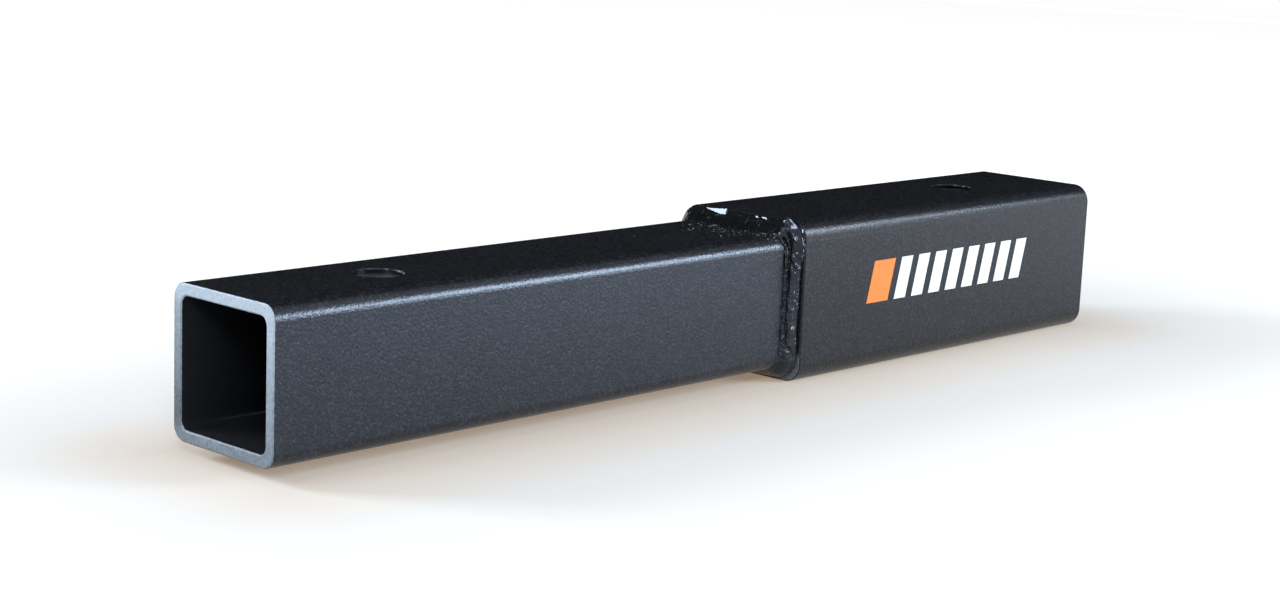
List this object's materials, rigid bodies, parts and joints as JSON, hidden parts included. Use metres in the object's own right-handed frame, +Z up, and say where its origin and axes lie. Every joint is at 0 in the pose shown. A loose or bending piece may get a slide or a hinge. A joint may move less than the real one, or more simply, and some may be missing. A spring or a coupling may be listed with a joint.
{
  "type": "hitch receiver extender",
  "caption": "Straight square shank welded into a larger square receiver tube, with a cross hole for a hitch pin in each and a plain slanted stripe decal.",
  "frame": {"origin": "centre of the shank's pin hole, on the axis that both tubes share", "axes": "+X from the shank's open end to the receiver's mouth, +Z up along both pin holes, -Y towards the side with the stripe decal"},
  "size_m": [0.425, 0.0602, 0.06],
  "materials": {
    "black_coat": "satin black powder coat with a fine texture, bare grey steel at the sawn ends",
    "coated_weld": "glossier black coat over a rough weld",
    "orange_film": "satin vinyl film",
    "white_film": "satin vinyl film"
  },
  "bodies": {
    "root": {"shank_tube": "black_coat", "receiver_tube": "black_coat", "weld_top": "coated_weld", "weld_front": "coated_weld", "weld_bottom": "coated_weld", "weld_back": "coated_weld", "decal_lead_stripe": "orange_film", "decal_stripes_white": "white_film"}
  },
  "joints": []
}
